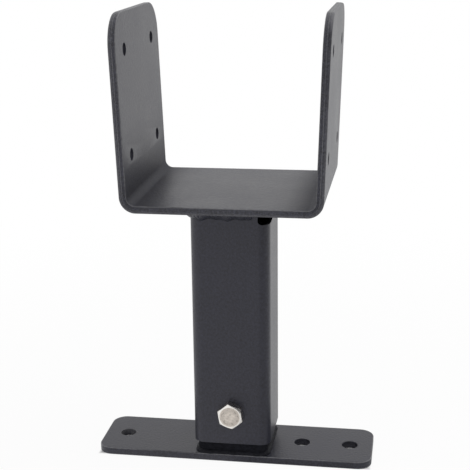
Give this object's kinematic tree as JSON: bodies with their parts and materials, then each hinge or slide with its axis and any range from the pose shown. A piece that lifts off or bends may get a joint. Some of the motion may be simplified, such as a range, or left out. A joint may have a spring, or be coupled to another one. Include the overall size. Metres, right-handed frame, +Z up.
{
  "type": "u bracket",
  "caption": "Painted steel U-shaped beam bracket on a square sleeve, bolted over an inner post that is welded to a drilled base plate.",
  "frame": {"origin": "centre of the base plate's underside", "axes": "+Z up the stand to the open side of the saddle, +X along the base plate to the end with two holes, -Y to the side of the bolt's head, with the beam lying along Y"},
  "size_m": [0.228, 0.14, 0.367],
  "materials": {
    "powder_coat": "charcoal powder coat, satin, fine texture",
    "stainless": "plain stainless steel, satin"
  },
  "bodies": {
    "root": {"base_plate": "powder_coat", "post": "powder_coat", "post_weld": "powder_coat", "sleeve": "powder_coat", "saddle": "powder_coat", "saddle_weld": "powder_coat", "cross_bolt": "stainless", "flat_washer": "stainless", "hex_nut": "stainless"}
  },
  "joints": []
}
